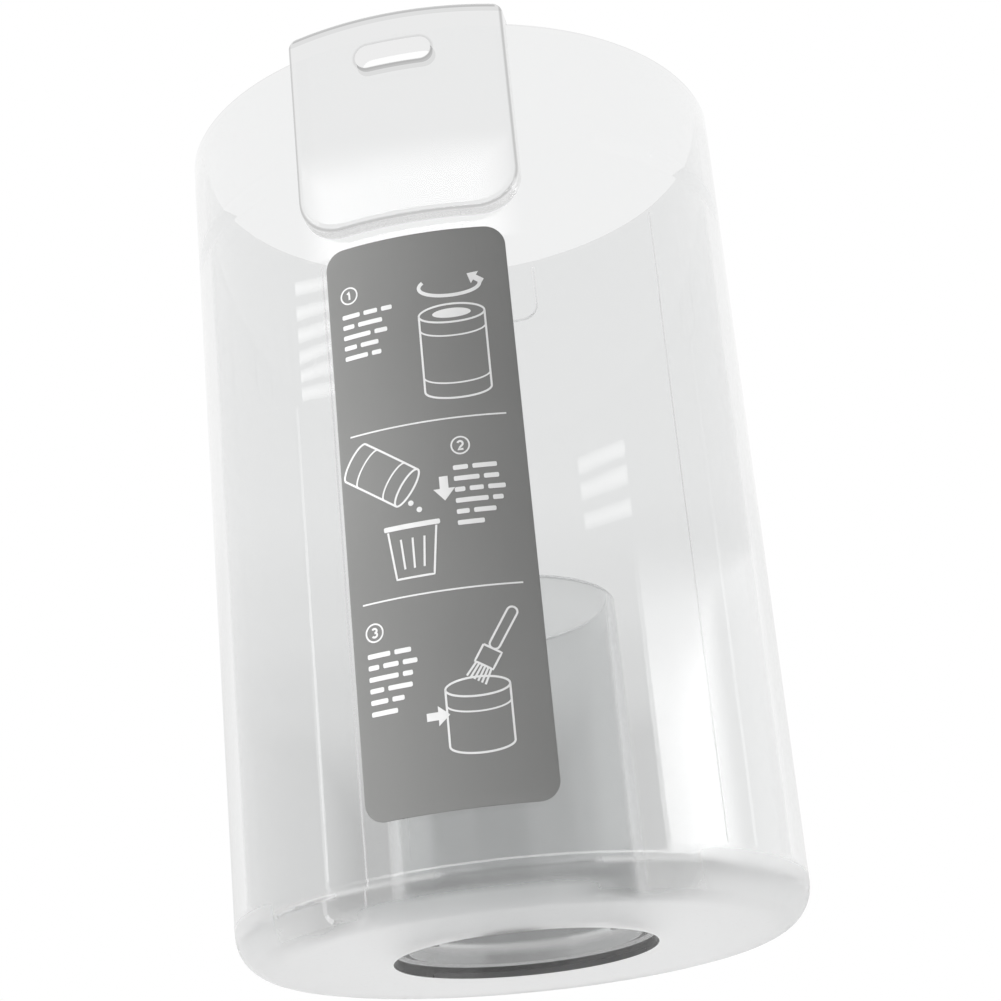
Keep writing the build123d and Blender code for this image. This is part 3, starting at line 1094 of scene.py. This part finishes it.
class DUSTCUP_OT_studio(bpy.types.Operator):
    """Build the floor, the lamps, the white background and the camera"""

    bl_idname = "dustcup.studio"
    bl_label = "Studio"

    def execute(self, context):
        scene, look = context.scene, context.scene.cup_studio
        scene.view_settings.view_transform = "Standard"
        self.make_floor(scene)
        self.make_world(scene, look.room)
        aim = Vector((0.0, 0.0, 0.08))
        self.make_lamp(scene, "fill_lamp", (-1.05, -0.30, 0.40), aim, (0.50, 0.70), look.fill)
        self.make_lamp(scene, "top_lamp", (0.05, 0.15, 1.10), aim, (0.80, 0.80), look.top)
        r, dim = look.card_distance, 1.0 / look.soft_box
        upward = ((0.0, 1.0), (0.5, 1.0), (1.0, dim))
        sideways = ((0.0, 1.0), (0.2, 1.0), (0.5, 1.8 * dim), (1.0, dim))
        box = card_light("soft_box", look.soft_box, upward, sideways)
        self.make_card(scene, "soft_box", r, (69, 155), (0.10, 0.37), box)
        dim = 1.0 / look.front_card
        upward = ((0.0, 1.0), (0.55, 1.0), (1.0, dim))
        sideways = ((0.0, dim), (0.22, 1.0), (0.78, 1.0), (1.0, dim))
        glow = card_light("front_card", look.front_card, upward, sideways, walls=0)
        self.make_card(scene, "front_card", r, (-60, 38), (0.55, 0.628), glow)
        bars = card_light("window_bars", look.window, ((0.0, 0.6), (0.5, 1.0), (1.0, 0.6)), walls=0)
        for n, low in enumerate((0.366, 0.385, 0.401)):
            self.make_card(scene, f"right_bar_{n}", r, (48, 69), (low, low + 0.011), bars, 0.012)
        for n, low in enumerate((0.462, 0.475, 0.488, 0.502, 0.516, 0.532)):
            self.make_card(scene, f"left_bar_{n}", r, (-64, -48), (low, low + 0.009), bars)
        upward = ((0.0, 0.6), (0.5, 1.0), (1.0, 0.3))
        sideways = ((0.0, 0.08), (0.2, 1.0), (0.8, 1.0), (1.0, 0.08))
        low_strip = card_light("low_strip", 2.4 * look.strips, upward, sideways, walls=0)
        self.make_card(scene, "low_strip", r, (-62, 125), (0.03, 0.11), low_strip)
        strip = card_light("strips", look.strips, ((0.0, 0.8), (0.5, 1.0), (1.0, 0.5)), walls=0)
        self.make_card(scene, "left_strip", r, (-67.8, -66.4), (0.14, 0.46), strip)
        upward = ((0.0, 0.58), (0.30, 0.58), (0.50, 0.61), (0.70, 0.86), (0.82, 0.93), (1.0, 1.0))
        sideways = (
            (0.0, 0.97), (0.36, 0.88), (0.42, 0.75), (0.445, 0.67), (0.48, 0.68),
            (0.535, 0.60), (0.585, 0.58), (0.63, 0.80), (1.0, 0.95),
        )
        grey = card_light("backdrop", 1.0, upward, sideways, "MAXIMUM", 40)
        self.make_card(scene, "backdrop", 0.7, (149.3, 229.3), (0.0, 0.357), grey)
        self.make_camera(scene, look.lens)
        return {"FINISHED"}

    def make_card(self, scene, name, radius, azimuths, heights, light, climb=0.0):
        """Card bent round the cup's axis between two turns from the front and two heights, unseen directly.

        It climbs evenly from its left to its right edge, half of the climb below its heights and half above.
        """
        columns, rows = CARD_GRID
        turn, up = np.radians(np.linspace(*azimuths, columns))[:, None], np.linspace(*heights, rows)
        across, along = np.meshgrid(np.linspace(0, 1, columns), np.linspace(0, 1, rows), indexing="ij")
        x, y = radius * np.sin(turn) + 0 * up, -radius * np.cos(turn) + 0 * up
        points = np.stack([x, y, up + climb * (across - 0.5)], -1)
        mesh = make_mesh(name, points, grid_faces(columns, rows, wrap_columns=False))
        spot = np.stack([across, along], -1).reshape(-1, 2)
        corners = np.empty(len(mesh.loops), np.int32)
        mesh.loops.foreach_get("vertex_index", corners)
        mesh.uv_layers.new(name="UVMap").uv.foreach_set("vector", spot[corners].ravel())
        mesh.materials.append(light)
        card = bpy.data.objects.new(name, mesh)
        card.visible_camera = False
        card.visible_shadow = False
        card.visible_diffuse = False
        scene.collection.objects.link(card)

    def make_floor(self, scene):
        """Flat square just under the cup's base, facing up."""
        side = np.linspace(-1.6, 1.6, 9)
        x, y = np.meshgrid(side, side, indexing="ij")
        points = np.stack([x, y, np.full_like(x, -0.4 * MM)], -1)
        mesh = make_mesh("floor", points, grid_faces(*x.shape, wrap_columns=False)[:, ::-1])
        mesh.materials.append(floor_paint(scene.cup_colours.floor))
        floor = bpy.data.objects.new("floor", mesh)
        floor.visible_glossy = False
        scene.collection.objects.link(floor)

    def make_world(self, scene, strength):
        """White background that the camera, gloss and glass see in full, and that lights the cup softly."""
        world = bpy.data.worlds.new("white_room")
        scene.world = world
        world.use_nodes = True
        tree = world.node_tree
        tree.nodes.clear()
        light, seen = (tree.nodes.new("ShaderNodeBackground") for _ in range(2))
        for node, brightness in ((light, strength), (seen, 1.0)):
            node.inputs["Color"].default_value = (1.0, 1.0, 1.0, 1.0)
            node.inputs["Strength"].default_value = brightness
        path = tree.nodes.new("ShaderNodeLightPath").outputs
        in_view = either(path["Is Camera Ray"], path["Is Glossy Ray"])
        mix = tree.nodes.new("ShaderNodeMixShader")
        tree.links.new(either(in_view, path["Is Transmission Ray"]), mix.inputs["Fac"])
        tree.links.new(light.outputs["Background"], mix.inputs[1])
        tree.links.new(seen.outputs["Background"], mix.inputs[2])
        output = tree.nodes.new("ShaderNodeOutputWorld")
        tree.links.new(mix.outputs["Shader"], output.inputs["Surface"])

    def make_lamp(self, scene, name, place, aim, size, power):
        """Area lamp that faces a point, unseen in the picture, in gloss and through glass."""
        lamp = bpy.data.lights.new(name, "AREA")
        lamp.shape = "RECTANGLE"
        lamp.size, lamp.size_y = size
        lamp.energy = power
        holder = bpy.data.objects.new(name, lamp)
        holder.location = place
        holder.rotation_euler = (aim - Vector(place)).to_track_quat("-Z", "Y").to_euler()
        holder.visible_camera = False
        holder.visible_glossy = False
        holder.visible_transmission = False
        scene.collection.objects.link(holder)

    def make_camera(self, scene, lens):
        """Camera below the front of the cup, at the fitted place and turn."""
        camera = bpy.data.cameras.new("camera")
        camera.lens = lens
        camera.sensor_width = 36.0
        camera.clip_start = 0.01
        holder = bpy.data.objects.new("camera", camera)
        right, down, ahead = camera_axes(CAMERA_TURN, *CAMERA_TILT)
        turn = Matrix((right, -down, -ahead)).transposed()
        holder.matrix_world = Matrix.Translation(CAMERA_PLACE) @ turn.to_4x4()
        scene.collection.objects.link(holder)
        scene.camera = holder


def camera_axes(azimuth, pitch, yaw, roll):
    """Right, down and forward of a camera that looks at the axis, then turns by yaw, pitch and roll."""
    turn = Matrix.Rotation(roll, 3, "Z") @ Matrix.Rotation(pitch, 3, "X") @ Matrix.Rotation(yaw, 3, "Y")
    around = Matrix.Rotation(math.radians(azimuth), 3, "Z")
    return [around @ Vector((row[0], row[2], -row[1])) for row in turn]


class DUSTCUP_PT_panel(bpy.types.Panel):
    """Sizes, colours and build steps of the dust cup"""

    bl_idname = "DUSTCUP_PT_panel"
    bl_label = "Dust Cup"
    bl_space_type = "VIEW_3D"
    bl_region_type = "UI"
    bl_category = "Dust Cup"

    def draw(self, context):
        scene = context.scene
        for group in (scene.cup_sizes, scene.cup_trim, scene.cup_colours, scene.cup_studio):
            box = self.layout.box()
            for name in group.__annotations__:
                box.prop(group, name)
        for operator in (DUSTCUP_OT_moulding, DUSTCUP_OT_label, DUSTCUP_OT_studio):
            self.layout.operator(operator.bl_idname)


CLASSES = (
    CupSizes,
    TrimSizes,
    CupColours,
    StudioLook,
    DUSTCUP_OT_moulding,
    DUSTCUP_OT_label,
    DUSTCUP_OT_studio,
    DUSTCUP_PT_panel,
)


def register():
    """Registers the classes and adds their settings to the scene."""
    for cls in CLASSES:
        bpy.utils.register_class(cls)
    bpy.types.Scene.cup_sizes = bpy.props.PointerProperty(type=CupSizes)
    bpy.types.Scene.cup_trim = bpy.props.PointerProperty(type=TrimSizes)
    bpy.types.Scene.cup_colours = bpy.props.PointerProperty(type=CupColours)
    bpy.types.Scene.cup_studio = bpy.props.PointerProperty(type=StudioLook)


def unregister():
    """Removes the settings and the classes again."""
    for name in ("cup_studio", "cup_colours", "cup_trim", "cup_sizes"):
        delattr(bpy.types.Scene, name)
    for cls in reversed(CLASSES):
        bpy.utils.unregister_class(cls)


def main():
    register()
    bpy.ops.dustcup.moulding()
    bpy.ops.dustcup.label()
    bpy.ops.dustcup.studio()


if __name__ == "__main__":
    main()
